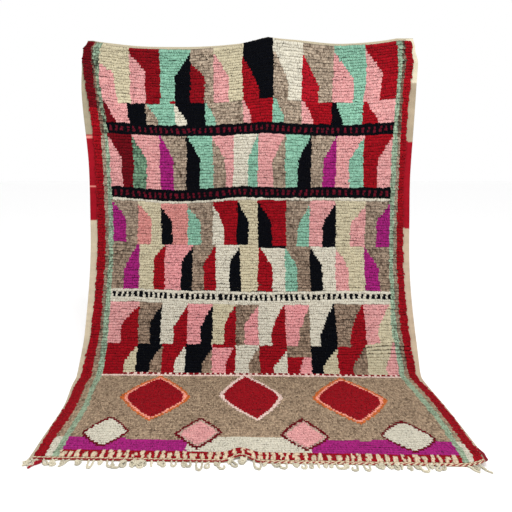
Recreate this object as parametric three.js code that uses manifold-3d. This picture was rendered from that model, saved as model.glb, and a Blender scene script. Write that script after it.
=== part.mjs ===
// A hand-knotted wool rug, held up by its top edge. It hangs straight down, sweeps forward,
// meets the floor in a soft crease and lies flat on it, with a knotted fringe past its hem.
// Millimetres, +Z up. The pile faces -Y where the rug hangs and +Z where it lies.
// The origin is on the middle of the top edge, at the rug's back.
import * as THREE from 'three';
import Module from 'manifold-3d';
import { mergeVertices } from 'three/addons/utils/BufferGeometryUtils.js';

const wasm = await Module();
wasm.setup();

// The rug as it was woven, before it was hung
const rug = {
  width: 1600,
  length: 2400,
  topStrip: 18, // flat-woven, no pile
  hem: 30, // flat-woven, no pile
  selvedge: 38, // flat-woven, no pile
  flatThick: 5, // thickness of the flat weave
  pileThick: 15, // back of the weave to the tips of the pile
  rowPitch: 16, // one row of knots
  rowGroove: 3, // depth between two rows
  pileStep: 6, // run over which the pile's rim rises from the flat weave
};

// Where the sheet bends, measured along its length from the top edge, and by how many degrees
const bends = [
  { name: 'sweep', from: 690, to: 1394, turn: 33.6 },
  { name: 'lower sweep', from: 1337, to: 1616, turn: 5.9 },
  { name: 'crease', from: 1608, to: 1700, turn: 50.5 },
];

// The top edge is held at these places across the width and sags between them
const holds = [
  { at: -770, sagToNext: 36 },
  { at: 86, sagToNext: 28 },
  { at: 715, sagToNext: 0 },
];
const sagReach = 820; // how far down the sags carry on

// How far each side edge strays outward from straight, down the length
const sideDrift = [
  { at: 0, left: -30, right: -28 },
  { at: 45, left: -3, right: -16 },
  { at: 120, left: 4, right: 2 },
  { at: 250, left: 11, right: 1 },
  { at: 620, left: -11, right: -3 },
  { at: 900, left: -6, right: 6 },
  { at: 1450, left: -3, right: 0 },
  { at: 1700, left: 15, right: -6 },
  { at: 2010, left: -11, right: 4 },
  { at: 2335, left: 3, right: 8 },
  { at: 2400, left: 6, right: -4 },
];

// The right side was woven a little longer than the left one, so the rows slant down to the right
const skew = { atHem: 48, power: 1.3 };

// Soft waves of the hanging part, out of its plane. They fade in over their first part and out
// over their last.
const waves = [
  { height: 11, length: 830, phase: 86, from: 0, to: 1250 },
  { height: 5, length: 470, phase: -300, from: 60, to: 1560 },
  { height: 3, length: 1300, phase: 400, from: 500, to: 1600 },
];
const waveFade = { start: 0.35, rise: 5, fall: 1.6 };

// The hem is pushed back and puckered near its middle, and its right corner curls up
const pucker = { at: -55, half: 70, push: 26, lift: 9, run: 190 };
const curl = { height: 26, across: 95, along: 150, drawIn: 10 };

// The pile's lumps: a slanted check of two waves
const lump = { height: 1.2, across: 210, along: 130, slantAcross: 97, slantAlong: 151 };
const steps = { laid: 12, hem: 3 }; // stations where the rug lies, and near its hem

const fringe = {
  gap: 0.3,
  stripWidth: 9,
  stripThick: 3,
  to: 700, // past this the hem's corner curls off the floor
  pitch: 22,
  pitchStray: 0.4, // of the pitch
  shortest: 34,
  longest: 62,
  mostBend: 0.75, // radians, to either side
  topShare: 0.72, // width of a strand's top over that of its foot
};

// A strand's shape from its root to its tip
const strandShape = [
  { share: 0, halfWidth: 2.6, height: 2.6 },
  { share: 0.42, halfWidth: 5, height: 8 },
  { share: 0.66, halfWidth: 3.6, height: 4.6 },
  { share: 1, halfWidth: 2.2, height: 2.6 },
];

const half = rug.width / 2;
const rim = half - rug.selvedge;
const pileRim = rim - rug.pileStep;

const clamp01 = (t) => Math.min(1, Math.max(0, t));

function smooth(t) {
  const c = clamp01(t);
  return c * c * (3 - 2 * c);
}

// A bell of height 1 at 0 that has died out at -1 and 1
function bell(t) {
  return smooth(1 - Math.abs(t));
}

// A repeatable number from 0 to 1 for each whole number
function chance(n) {
  const v = Math.sin(n * 127.1 + 11.7) * 43758.5453;
  return v - Math.floor(v);
}

// A value read from a table by the 'at' column, eased between its rows
function eased(table, at, column) {
  if (at <= table[0].at) return table[0][column];
  for (let i = 1; i < table.length; i++) {
    const low = table[i - 1];
    const high = table[i];
    if (at <= high.at) {
      return low[column] + (high[column] - low[column]) * smooth((at - low.at) / (high.at - low.at));
    }
  }
  return table[table.length - 1][column];
}

// The angle of the sheet from straight down, a distance along its length
function leanAt(run) {
  return bends.reduce((sum, b) => sum + b.turn * smooth((run - b.from) / (b.to - b.from)), 0);
}

// The line that the sheet's back follows from top to hem, stepped off once
const pathStep = 2;
const path = [];
for (let run = 0, y = 0, z = 0; run <= rug.length + skew.atHem; run += pathStep) {
  path.push({ y, z });
  const lean = THREE.MathUtils.degToRad(leanAt(run + pathStep / 2));
  y -= Math.sin(lean) * pathStep;
  z -= Math.cos(lean) * pathStep;
}
const floorZ = path[path.length - 1].z;

function pathPoint(run) {
  if (run <= 0) return { y: 0, z: -run };
  const i = Math.min(Math.floor(run / pathStep), path.length - 2);
  const t = run / pathStep - i;
  return {
    y: path[i].y + (path[i + 1].y - path[i].y) * t,
    z: path[i].z + (path[i + 1].z - path[i].z) * t,
  };
}

// How far the top edge hangs below its holds
function sagAt(across) {
  for (let i = 1; i < holds.length; i++) {
    const low = holds[i - 1];
    if (across >= low.at && across <= holds[i].at) {
      const t = (across - low.at) / (holds[i].at - low.at);
      return 4 * t * (1 - t) * low.sagToNext;
    }
  }
  return 0;
}
const middleSag = sagAt(0);

function waveAt(across, along) {
  return waves.reduce((sum, w) => {
    const t = (along - w.from) / (w.to - w.from);
    const fade = t < 0 ? 0 : smooth((1 - t) * waveFade.fall) * smooth(waveFade.start + t * waveFade.rise);
    return sum + w.height * fade * Math.cos((2 * Math.PI * (across - w.phase)) / w.length);
  }, 0);
}

// The place of a point of the rug: across and along as woven, and its height over the back
function place(across, along, height) {
  const side = across < 0 ? 'left' : 'right';
  const nearSide = (Math.abs(across) / half) ** 3;
  const drift = eased(sideDrift, along, side) * nearSide * Math.sign(across);
  const slant = (across / rug.width) * skew.atHem * (along / rug.length) ** skew.power;
  const sag = (sagAt(across) - middleSag) * smooth(1 - along / sagReach);
  const nearHem = smooth(1 - (rug.length - along) / pucker.run);
  const puckered = bell((across - pucker.at) / pucker.half) * nearHem;
  const run = along + slant + sag - pucker.push * puckered;
  const spot = pathPoint(run);
  const lean = THREE.MathUtils.degToRad(leanAt(run));
  const corner =
    clamp01(1 - (half - across) / curl.across) ** 2 *
    smooth(1 - (rug.length - along) / curl.along);
  const lift = waveAt(across, along) + pucker.lift * puckered * nearHem + curl.height * corner;
  return new THREE.Vector3(
    across + drift - curl.drawIn * corner,
    spot.y - Math.cos(lean) * (height + lift),
    spot.z + Math.sin(lean) * (height + lift),
  );
}

// How many columns of points cross the front and the back, between the rug's rims
const columns = {
  edge: { front: 25, back: 25 },
  hang: { front: 8, back: 5 },
  laid: { front: 13, back: 7 },
  hem: { front: 39, back: 39 },
};

// The columns of the front, from the left edge to the right one
function frontColumns(grid) {
  const count = columns[grid].front;
  const inner = Array.from({ length: count }, (_, i) => pileRim * ((2 * (i + 1)) / (count + 1) - 1));
  return [-half, -rim, -pileRim, ...inner, pileRim, rim, half];
}

function backColumns(grid) {
  const count = columns[grid].back;
  if (grid === 'edge' || grid === 'hem') return frontColumns(grid).reverse();
  const inner = Array.from({ length: count }, (_, i) => half * (1 - (2 * (i + 1)) / (count + 1)));
  return [half, ...inner, -half];
}

// One ring of points round the sheet at a place along its length: the front from left to right,
// then the back from right to left. Each has a turn from 0 to 2 by which rings are stitched.
function ringAt({ along, grid, groove = 0, flat = false }) {
  const lumpAt = (across) =>
    lump.height *
    Math.sin((2 * Math.PI * across) / lump.across + along / lump.slantAcross) *
    Math.cos((2 * Math.PI * along) / lump.along + across / lump.slantAlong);
  const heightAt = (across) =>
    flat || Math.abs(across) > pileRim ? rug.flatThick : rug.pileThick - groove + lumpAt(across);
  const share = (across) => (across + half) / rug.width;
  const front = frontColumns(grid).map((across) => ({
    spot: place(across, along, heightAt(across)),
    turn: share(across),
  }));
  const back = backColumns(grid).map((across) => ({
    spot: place(across, along, 0),
    turn: 2 - share(across),
  }));
  return { points: [...front, ...back], frontCount: front.length };
}

// Triangles, as corner numbers into one list of points, with a way to add each kind of surface
class Shell {
  constructor() {
    this.points = [];
    this.corners = [];
  }

  addRing(spots) {
    const first = this.points.length;
    this.points.push(...spots);
    return spots.map((_, i) => first + i);
  }

  face(a, b, c) {
    this.corners.push(a, b, c);
  }

  // Joins two closed rings of any two counts, going round both by their turns
  stitch(upper, lower) {
    const turnAfter = (ring, i) => (i + 1 < ring.turns.length ? ring.turns[i + 1] : 2);
    const upperCount = upper.numbers.length;
    const lowerCount = lower.numbers.length;
    let i = 0;
    let j = 0;
    while (i < upperCount || j < lowerCount) {
      const a = upper.numbers[i % upperCount];
      const b = lower.numbers[j % lowerCount];
      if (j >= lowerCount || (i < upperCount && turnAfter(upper, i) <= turnAfter(lower, j))) {
        i += 1;
        this.face(a, b, upper.numbers[i % upperCount]);
      } else {
        j += 1;
        this.face(a, b, lower.numbers[j % lowerCount]);
      }
    }
  }

  // Closes the end of a ring whose front and back have the same columns
  cap({ numbers, frontCount }, turned) {
    const put = (a, b, c) => (turned ? this.face(a, c, b) : this.face(a, b, c));
    for (let i = 0; i < frontCount - 1; i++) {
      const j = numbers.length - 1 - i;
      put(numbers[i], numbers[i + 1], numbers[j]);
      put(numbers[i + 1], numbers[j - 1], numbers[j]);
    }
  }

  geometry() {
    const g = new THREE.BufferGeometry();
    const numbers = this.points.flatMap((p) => p.toArray());
    g.setAttribute('position', new THREE.Float32BufferAttribute(numbers, 3));
    g.setIndex(this.corners);
    return g;
  }
}

// The stations along the rug's length: grooves and ridges of the knotted rows where it hangs,
// and plain steps where it lies, as the rows don't show there
function stations() {
  const pileFrom = rug.topStrip + rug.pileStep;
  const pileTo = rug.length - rug.hem - rug.pileStep;
  const rows = Math.round((bends[2].to - pileFrom) / rug.rowPitch);
  const laidFrom = pileFrom + rows * rug.rowPitch;
  const hemFrom = rug.length - pucker.run;
  const list = [
    { along: 0, grid: 'edge', flat: true },
    { along: rug.topStrip, grid: 'edge', flat: true },
  ];
  for (let i = 0; i < 2 * rows; i++) {
    const groove = i % 2 ? rug.rowGroove : 0;
    list.push({ along: pileFrom + (i * rug.rowPitch) / 2, grid: 'hang', groove });
  }
  for (let i = 0; i < steps.laid; i++) {
    list.push({ along: laidFrom + ((hemFrom - laidFrom) * i) / steps.laid, grid: 'laid' });
  }
  for (let i = 0; i <= steps.hem; i++) {
    list.push({ along: hemFrom + ((pileTo - hemFrom) * i) / steps.hem, grid: 'hem' });
  }
  list.push({ along: rug.length - rug.hem, grid: 'hem', flat: true });
  list.push({ along: rug.length, grid: 'hem', flat: true });
  return list;
}

function rugGeometry() {
  const shell = new Shell();
  let last = null;
  for (const station of stations()) {
    const { points, frontCount } = ringAt(station);
    const numbers = shell.addRing(points.map((p) => p.spot));
    const ring = { numbers, frontCount, turns: points.map((p) => p.turn) };
    if (last) shell.stitch(last, ring);
    else shell.cap(ring, false);
    last = ring;
  }
  shell.cap(last, true);
  return shell.geometry();
}

// The columns of the hem that the fringe's strip runs along
const stripColumns = frontColumns('hem').filter((across) => across >= -rim && across <= fringe.to);

// A point on the floor past the hem, measured from the straight stretch between two of its columns
function hemPoint(across, past) {
  const after = Math.max(1, stripColumns.findIndex((column) => column >= across));
  const [low, high] = [stripColumns[after - 1], stripColumns[after]];
  const share = (across - low) / (high - low);
  const spot = place(low, rug.length, 0).lerp(place(high, rug.length, 0), share);
  return new THREE.Vector3(spot.x, spot.y - past, floorZ);
}

// A four-sided bar through sections of centre, half width and height, all resting on the floor
function bar(sections) {
  const shell = new Shell();
  let last = null;
  sections.forEach(({ at, side, halfWidth, height }) => {
    const corner = (share, z) => at.clone().addScaledVector(side, halfWidth * share).setZ(z);
    const ring = shell.addRing([
      corner(-1, floorZ),
      corner(1, floorZ),
      corner(fringe.topShare, floorZ + height),
      corner(-fringe.topShare, floorZ + height),
    ]);
    if (last) {
      for (let i = 0; i < 4; i++) {
        const next = (i + 1) % 4;
        shell.face(last[i], last[next], ring[i]);
        shell.face(last[next], ring[next], ring[i]);
      }
    } else {
      shell.face(ring[0], ring[2], ring[1]);
      shell.face(ring[0], ring[3], ring[2]);
    }
    last = ring;
  });
  shell.face(last[0], last[1], last[2]);
  shell.face(last[0], last[2], last[3]);
  return shell.geometry();
}

// One knotted warp end: it leaves the hem, is knotted part of the way out and ends in a soft tip
function strandSections(across, n) {
  const length = fringe.shortest + (fringe.longest - fringe.shortest) * chance(n);
  const bend = (2 * chance(n + 400) - 1) * fringe.mostBend;
  const start = hemPoint(across, fringe.gap + fringe.stripWidth / 2);
  return strandShape.map(({ share, halfWidth, height }) => {
    const angle = bend * share;
    const heading = new THREE.Vector3(Math.sin(angle), -Math.cos(angle), 0);
    return {
      at: start.clone().addScaledVector(heading, length * share),
      side: new THREE.Vector3(Math.cos(angle), Math.sin(angle), 0),
      halfWidth,
      height,
    };
  });
}

function stripSections() {
  return stripColumns.map((across) => ({
    at: hemPoint(across, fringe.gap + fringe.stripWidth / 2),
    side: new THREE.Vector3(0, 1, 0),
    halfWidth: fringe.stripWidth / 2,
    height: fringe.stripThick,
  }));
}

function toSolid(geometry) {
  const merged = mergeVertices(geometry);
  return new wasm.Manifold(
    new wasm.Mesh({
      numProp: 3,
      vertProperties: new Float32Array(merged.attributes.position.array),
      triVerts: new Uint32Array(merged.index.array),
    }),
  );
}

function toGeometry(solid) {
  const mesh = solid.getMesh();
  const g = new THREE.BufferGeometry();
  g.setAttribute('position', new THREE.BufferAttribute(mesh.vertProperties, 3));
  g.setIndex(new THREE.BufferAttribute(mesh.triVerts, 1));
  return g;
}

function fringeGeometry() {
  let solid = toSolid(bar(stripSections()));
  const [from, to] = [stripColumns[0], stripColumns[stripColumns.length - 1]];
  const count = Math.floor((to - from) / fringe.pitch) - 1;
  for (let n = 0; n < count; n++) {
    const stray = (chance(n + 900) - 0.5) * fringe.pitchStray;
    const across = from + (n + 1 + stray) * fringe.pitch;
    solid = solid.add(toSolid(bar(strandSections(across, n))));
  }
  return toGeometry(solid);
}

const wool = new THREE.MeshStandardMaterial({ color: 0xa88f76, roughness: 0.95, metalness: 0 });
const warp = new THREE.MeshStandardMaterial({ color: 0xe2dcc6, roughness: 0.95, metalness: 0 });

function part(name, geometry, material) {
  geometry.computeVertexNormals();
  const mesh = new THREE.Mesh(geometry, material);
  mesh.name = name;
  return mesh;
}

const object = new THREE.Group();
object.add(part('rug', rugGeometry(), wool));
object.add(part('fringe', fringeGeometry(), warp));

export default object;
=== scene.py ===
# A boujad rug: knotted wool pile on a flat weave, hung by its top edge and sweeping onto the floor.
# Metres, +Z up. The pile faces -Y where the rug hangs and +Z where it lies.
import math

import bpy
import numpy as np
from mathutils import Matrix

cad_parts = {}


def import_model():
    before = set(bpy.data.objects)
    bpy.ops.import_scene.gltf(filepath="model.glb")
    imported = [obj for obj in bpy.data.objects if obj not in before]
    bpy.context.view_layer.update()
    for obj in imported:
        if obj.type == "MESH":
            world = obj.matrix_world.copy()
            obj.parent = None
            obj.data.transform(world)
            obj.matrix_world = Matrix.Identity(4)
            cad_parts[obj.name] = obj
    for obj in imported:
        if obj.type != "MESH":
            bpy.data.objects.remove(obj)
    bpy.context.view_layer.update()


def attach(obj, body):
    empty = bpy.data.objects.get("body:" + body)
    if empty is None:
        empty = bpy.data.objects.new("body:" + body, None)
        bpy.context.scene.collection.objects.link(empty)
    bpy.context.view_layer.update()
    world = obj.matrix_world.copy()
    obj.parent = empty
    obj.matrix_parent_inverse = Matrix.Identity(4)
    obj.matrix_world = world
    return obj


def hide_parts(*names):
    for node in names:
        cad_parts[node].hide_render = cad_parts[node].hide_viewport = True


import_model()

# The rug as it was woven
WIDTH = 1.600
LENGTH = 2.400
HALF = WIDTH / 2
TOP_STRIP = 0.018
HEM = 0.030
SELVEDGE = 0.038
FLAT_THICK = 0.005
RIM = HALF - SELVEDGE

# Where the sheet bends, measured down its length: from, to, degrees
BENDS = [(0.690, 1.394, 33.6), (1.337, 1.616, 5.9), (1.608, 1.700, 50.5)]

# The top edge's holds: place across, and the sag to the next hold
HOLDS = [(-0.770, 0.036), (0.086, 0.028), (0.715, 0.0)]
SAG_REACH = 0.820

# How far the top rows are drawn down below those of the solid: place across, drop
TOP_DROP = [
    (-0.800, 0.023), (-0.600, 0.019), (-0.350, 0.014), (-0.050, 0.016),
    (0.086, 0.005), (0.240, 0.000), (0.450, 0.008), (0.800, 0.012),
]
DROP_REACH = 0.220

# How far the side edges stray outward: place down, left, right
SIDE_DRIFT = [
    (0.000, -0.030, -0.028),
    (0.045, -0.006, -0.016),
    (0.120, 0.001, 0.002),
    (0.250, 0.008, 0.001),
    (0.620, -0.011, -0.003),
    (0.900, -0.006, 0.006),
    (1.450, -0.003, 0.000),
    (1.700, 0.010, -0.006),
    (2.010, -0.014, 0.001),
    (2.335, -0.006, -0.001),
    (2.400, -0.004, -0.009),
]
SKEW_AT_HEM = 0.048
SKEW_POWER = 1.3

# Soft waves out of the plane: height, length, phase, from, to
WAVES = [
    (0.011, 0.830, 0.086, 0.000, 1.250),
    (0.005, 0.470, -0.300, 0.060, 1.560),
    (0.003, 1.300, 0.400, 0.500, 1.600),
]
WAVE_START, WAVE_RISE, WAVE_FALL = 0.35, 5.0, 1.6

# The pucker in the hem, and the hem's right corner, which curls up
PUCKER_AT, PUCKER_HALF, PUCKER_PUSH, PUCKER_LIFT, PUCKER_RUN = -0.055, 0.070, 0.026, 0.009, 0.190
CURL_HEIGHT, CURL_ACROSS, CURL_ALONG, CURL_DRAW = 0.026, 0.095, 0.150, 0.010

# The knots and the pile that they leave
KNOT_PITCH = 0.00886
ROW_PITCH = 0.0134
PILE_FROM = 0.009
PILE_TO = 2.397
PILE_END = 2.389
PILE_TOP = 0.0138
PILE_RUN = 0.0200
LEG_RADIUS = 0.0046
PILE_PIECES = 5


def smooth(t):
    t = np.clip(t, 0, 1)
    return t * t * (3 - 2 * t)


def near(x, at, reach):
    """1 at a place, eased to 0 at its reach."""
    return smooth(1 - np.abs(x - at) / reach)


def within(x, low, high):
    """Where a number is from low up to high."""
    return (x >= low) & (x < high)


def lean_at(run):
    """How far the sheet has turned from hanging, in radians."""
    return sum(math.radians(turn) * smooth((run - a) / (b - a)) for a, b, turn in BENDS)


# The line that the sheet's back follows, stepped off once
PATH_STEP = 0.002
path_run = np.arange(0, LENGTH + 0.05, PATH_STEP)
path_lean = lean_at(path_run[:-1] + PATH_STEP / 2)
path_y = np.concatenate([[0], -np.cumsum(np.sin(path_lean) * PATH_STEP)])
path_z = np.concatenate([[0], -np.cumsum(np.cos(path_lean) * PATH_STEP)])
FLOOR_Z = float(path_z[-1])


def eased(table, at, column):
    """A column of a table, eased between its rows."""
    table = np.array(table)
    at = np.clip(at, table[0, 0], table[-1, 0])
    i = np.clip(np.searchsorted(table[:, 0], at), 1, len(table) - 1)
    low, high = table[i - 1], table[i]
    t = smooth((at - low[..., 0]) / (high[..., 0] - low[..., 0]))
    return low[..., column] + (high[..., column] - low[..., column]) * t


def sag_at(u):
    sag = np.zeros_like(u)
    for (a, depth), (b, _) in zip(HOLDS[:-1], HOLDS[1:]):
        t = np.clip((u - a) / (b - a), 0, 1)
        sag = sag + 4 * t * (1 - t) * depth
    return sag


MIDDLE_SAG = float(sag_at(np.array([0.0]))[0])


def wave_at(u, s):
    total = np.zeros_like(u)
    for height, length, phase, a, b in WAVES:
        t = (s - a) / (b - a)
        fade = smooth((1 - t) * WAVE_FALL) * smooth(WAVE_START + t * WAVE_RISE)
        total = total + np.where(t < 0, 0, height * fade * np.cos(2 * np.pi * (u - phase) / length))
    return total


def place(u, s, h):
    """The place of a point of the rug: across and along as woven, and its height over the back."""
    u, s, h = np.broadcast_arrays(np.asarray(u, float), np.asarray(s, float), np.asarray(h, float))
    side = np.where(u < 0, eased(SIDE_DRIFT, s, 1), eased(SIDE_DRIFT, s, 2))
    drift = side * (np.abs(u) / HALF) ** 3 * np.sign(u)
    slant = u / WIDTH * SKEW_AT_HEM * (np.clip(s, 0, None) / LENGTH) ** SKEW_POWER
    sag = (sag_at(u) - MIDDLE_SAG) * smooth(1 - s / SAG_REACH)
    near_hem = smooth(1 - (LENGTH - s) / PUCKER_RUN)
    puckered = near(u, PUCKER_AT, PUCKER_HALF) * near_hem
    drop = eased(TOP_DROP, u, 1) * smooth(1 - s / DROP_REACH)
    run = s + slant + sag - PUCKER_PUSH * puckered + drop
    y = np.interp(run, path_run, path_y)
    z = np.where(run < 0, -run, np.interp(run, path_run, path_z))
    lean = lean_at(run)
    corner = np.clip(1 - (HALF - u) / CURL_ACROSS, 0, 1) ** 2 * smooth(1 - (LENGTH - s) / CURL_ALONG)
    lift = wave_at(u, s) + PUCKER_LIFT * puckered * near_hem + CURL_HEIGHT * corner
    x = u + drift - CURL_DRAW * corner
    return np.stack([x, y - np.cos(lean) * (h + lift), z + np.sin(lean) * (h + lift)], -1)


def chance(n):
    """A repeatable number from 0 to 1 for each whole number."""
    v = np.sin(np.asarray(n, float) * 127.1 + 11.7) * 43758.5453
    return v - np.floor(v)


def lattice(i, j, seed):
    v = np.sin(i * 127.1 + j * 311.7 + seed * 74.7) * 43758.5453
    return v - np.floor(v)


def noise(x, y, seed):
    """Smooth noise from -1 to 1 with lumps one unit apart."""
    i, j = np.floor(x), np.floor(y)
    a, b = smooth(x - i), smooth(y - j)
    low = lattice(i, j, seed) * (1 - a) + lattice(i + 1, j, seed) * a
    high = lattice(i, j + 1, seed) * (1 - a) + lattice(i + 1, j + 1, seed) * a
    return 2 * (low * (1 - b) + high * b) - 1


# How uneven the rug is in its parts: by how much, the length of a lump across and down, seed
UNEVEN = {
    "weft": (0.0022, 0.16, 0.30, 3),
    "cell edge": (0.0016, 0.022, 1, 5),
    "cell drift": (0.004, 0.14, 1, 6),
    "blade edge": (0.0018, 0.020, 1, 9),
    "end strip": (0.005, 0.20, 1, 2),
    "wisp place": (0.34, 0.06, 1, 6),
    "wisp lean": (0.16, 1, ROW_PITCH, 8),
    "groove": (0.45, 0.033, 1, 36),
    "leg run": (0.0040, 0.019, 1, 31),
    "row run": (0.0022, 0.060, 1, 32),
    "leg height": (0.0015, 0.020, 1, 33),
    "leg swing": (0.0032, 0.03, 1, 35),
    "weft shade": (0.15, 0.04, 0.01, 12),
    "selvedge joint": (0.004, 0.02, 1, 14),
    "selvedge shade": (0.09, 0.05, 0.012, 15),
    "selvedge tone": (0.06, 0.1, 0.09, 16),
    "strip height": (0.0004, 0.012, 0.004, 17),
    "strip shade": (0.06, 0.02, 0.004, 18),
}
ROW_APART = 7.1


def uneven(part, u, s):
    """The unevenness of a part at places across and down. Rows counted in steps of ROW_APART are unalike."""
    amount, across, down, seed = UNEVEN[part]
    return amount * noise(u / across, s / down, seed)


# The yarns, light and dark as spun, sRGB
YARNS = {
    "red": ((159, 13, 27), (101, 5, 13)),
    "wine": ((111, 9, 21), (67, 4, 10)),
    "garnet": ((140, 11, 24), (88, 4, 11)),
    "cherry": ((180, 22, 38), (115, 10, 22)),
    "crimson": ((108, 17, 38), (48, 8, 18)),
    "pink": ((231, 172, 169), (188, 118, 121)),
    "salmon": ((226, 155, 148), (181, 109, 106)),
    "rosy": ((237, 165, 166), (190, 117, 121)),
    "mint": ((149, 200, 175), (85, 132, 112)),
    "sage": ((136, 177, 145), (47, 74, 59)),
    "moss": ((166, 186, 157), (40, 44, 35)),
    "fern": ((176, 202, 174), (83, 91, 74)),
    "lichen": ((161, 181, 154), (95, 106, 85)),
    "tweed": ((161, 132, 112), (40, 27, 24)),
    "taupe": ((198, 177, 150), (84, 64, 48)),
    "beige": ((206, 197, 168), (158, 146, 117)),
    "white": ((216, 211, 195), (173, 166, 145)),
    "black": ((2, 4, 12), (1, 1, 4)),
    "purple": ((174, 39, 129), (114, 14, 82)),
    "orange": ((211, 114, 55), (159, 69, 29)),
    "rose": ((250, 170, 148), (212, 126, 106)),
    "pale": ((238, 213, 202), (200, 168, 156)),
    "grey": ((196, 172, 156), (142, 116, 102)),
    "cream": ((222, 204, 176), (171, 143, 112)),
}
YARN_NAMES = list(YARNS)

# The hand-mixed yarns, and how much of their dark strand they show. The others show less and vary less.
MIXED = {
    "taupe": 0.30, "tweed": 0.46, "moss": 0.46, "sage": 0.38,
    "fern": 0.28, "lichen": 0.22, "grey": 0.30,
}
DYED_SHARE, DYED_STREAK, MIXED_STREAK = 0.26, 0.42, 0.80

# Painted shade deep in the pile: how light the wool is painted at a leg's root and first ring, where the
# rows above shade it. The pale wools and the reds stay lightest
DEEP_DYED, DEEP_MIXED = 0.70, 0.42
DEEP_PALE, PALE_WOOLS = 0.93, ("beige", "white", "red", "wine", "garnet", "cherry")

# The wools whose rows show least: how deep their grooves are beside the others', and how much they vary
CALM_WOOLS, CALM_GROOVES, CALM_STREAK = ("beige", "white"), 0.50, 0.20


def linear(rgb):
    c = np.asarray(rgb, float) / 255
    return np.where(c <= 0.04045, c / 12.92, ((c + 0.055) / 1.055) ** 2.4)


LIGHT_YARNS = np.array([linear(light) for light, dark in YARNS.values()])
DARK_YARNS = np.array([linear(dark) for light, dark in YARNS.values()])
DARK_SHARE = np.array([MIXED.get(n, DYED_SHARE) for n in YARN_NAMES])
# The painted shade deep in the pile, for each yarn
DEEP = np.array(
    [DEEP_MIXED if n in MIXED else DEEP_PALE if n in PALE_WOOLS else DEEP_DYED for n in YARN_NAMES]
)
STREAKS = np.array(
    [MIXED_STREAK if n in MIXED else CALM_STREAK if n in CALM_WOOLS else DYED_STREAK for n in YARN_NAMES]
)
GROOVES = np.array([CALM_GROOVES if n in CALM_WOOLS else 1.0 for n in YARN_NAMES])


def yarn(name):
    return YARN_NAMES.index(name)


# The side borders, in centimetres: place down, the left border's rim, the end of its red, the end of its
# mixed stripe and the field's edge, then the right border's same lines from the field out
BORDERS = [
    (0, -79.4, -76.2, -75.2, -71.8, 71.2, 73.9, 75.2, 78.4),
    (9, -79.4, -75.6, -74.8, -71.8, 70.8, 73.1, 74.5, 77.5),
    (15, -78.8, -74.8, -73.4, -71.6, 70.5, 72.7, 74.0, 77.0),
    (20, -77.8, -74.0, -72.8, -71.3, 70.4, 72.5, 73.6, 76.7),
    (30, -76.6, -73.0, -71.6, -70.0, 70.1, 72.2, 73.5, 76.2),
    (40, -76.1, -72.5, -70.8, -69.2, 70.0, 72.1, 73.6, 76.2),
    (60, -76.2, -72.5, -70.8, -69.0, 70.0, 72.5, 74.0, 76.5),
    (90, -76.0, -72.2, -70.5, -68.2, 70.0, 72.0, 73.5, 76.5),
    (120, -76.2, -72.5, -70.8, -68.5, 69.5, 71.5, 73.5, 76.5),
    (140, -76.5, -72.5, -71.0, -68.5, 68.5, 71.0, 73.0, 76.5),
    (162, -77.5, -73.0, -70.8, -68.2, 69.5, 72.0, 73.8, 77.3),
    (190, -78.5, -73.9, -71.3, -69.0, 70.6, 73.1, 75.2, 78.6),
    (210, -78.6, -74.0, -71.2, -68.8, 71.4, 73.8, 75.2, 78.6),
    (230, -78.2, -74.4, -71.6, -69.3, 70.9, 73.0, 75.0, 78.0),
    (240, -78.0, -74.4, -71.8, -69.5, 70.7, 72.8, 75.0, 77.8),
]

# Where the borders change: where the left red's painted shade ends, its red painted dark wine at the top,
# where the top-left edge curls away; where the mixed stripes' darker yarn ends; and where the left mint
# stripe's starts and ends with that of the mixed ones
SHADED_RED_ABOVE, TWEED_ABOVE, MOSS_BELOW = 0.33, 0.46, 0.07

# Painted light and shade down the rug: how light every wool is painted at each place down it, standing in
# for how the light falls along it. Then how much red, green and blue the undyed taupe wool shows there
PAINTED_LIGHT_DOWN = [
    (0.00, 0.85), (0.12, 0.93), (0.30, 0.99), (0.40, 0.98),
    (0.90, 0.88), (1.55, 0.85), (1.75, 0.85), (2.40, 0.88),
]
TAUPE_LOTS = [
    (0.00, 1.05, 1.09, 1.18),
    (0.40, 1.00, 1.03, 1.12),
    (0.80, 0.88, 0.88, 0.95),
    (1.30, 0.76, 0.71, 0.74),
    (1.63, 0.73, 0.67, 0.68),
    (1.66, 0.83, 0.78, 0.75),
    (2.40, 0.83, 0.78, 0.76),
]

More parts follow.
